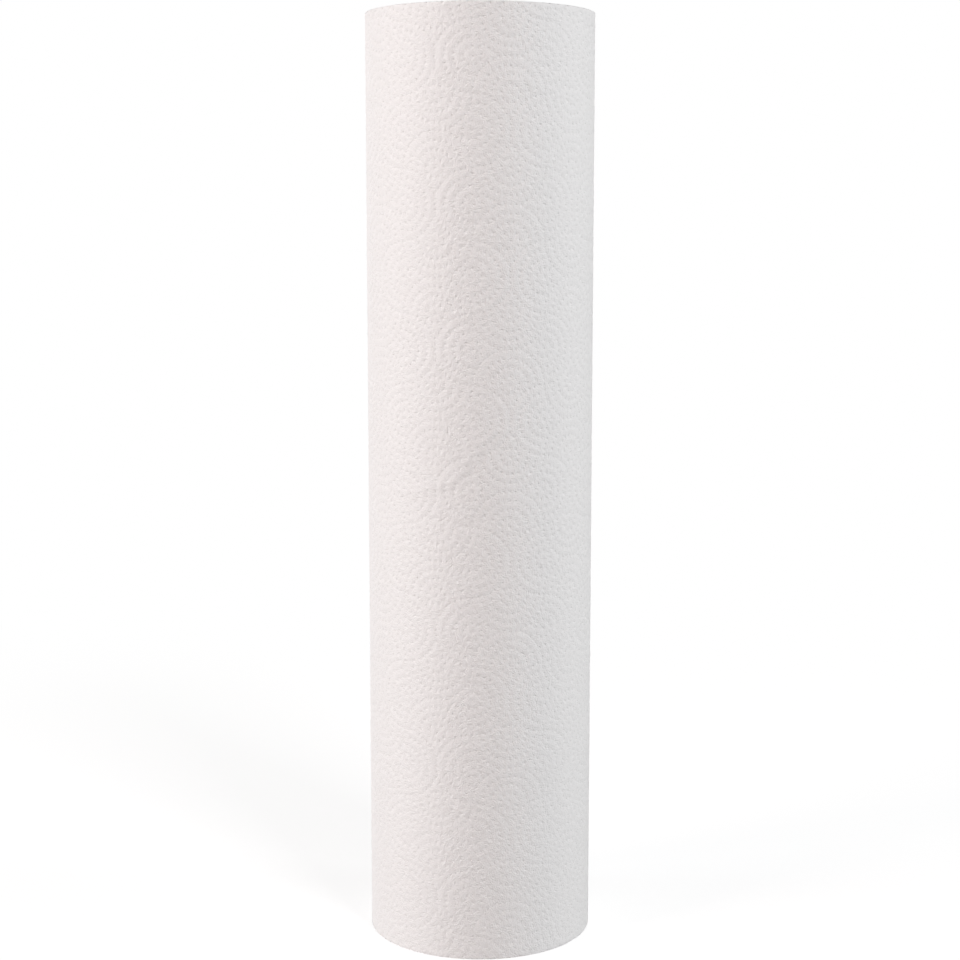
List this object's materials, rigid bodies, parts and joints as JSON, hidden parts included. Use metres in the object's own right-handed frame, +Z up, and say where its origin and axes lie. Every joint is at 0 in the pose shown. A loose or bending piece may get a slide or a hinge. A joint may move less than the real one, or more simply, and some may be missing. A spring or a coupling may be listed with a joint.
{
  "type": "exam table paper roll",
  "caption": "Upright cylindrical roll of white dot-embossed exam table paper wound on a card core with an open bore for a roll holder's rod.",
  "frame": {"origin": "on the roll's axis, in the plane of the end that it stands on", "axes": "+Z up along the roll's axis, +Y to the back, where the web's tail edge lies"},
  "size_m": [0.123, 0.1231, 0.5],
  "materials": {
    "paper": "matt white embossed tissue",
    "card": "matt grey-brown board"
  },
  "bodies": {
    "root": {"wound_paper": "paper", "core_tube": "card"}
  },
  "joints": []
}
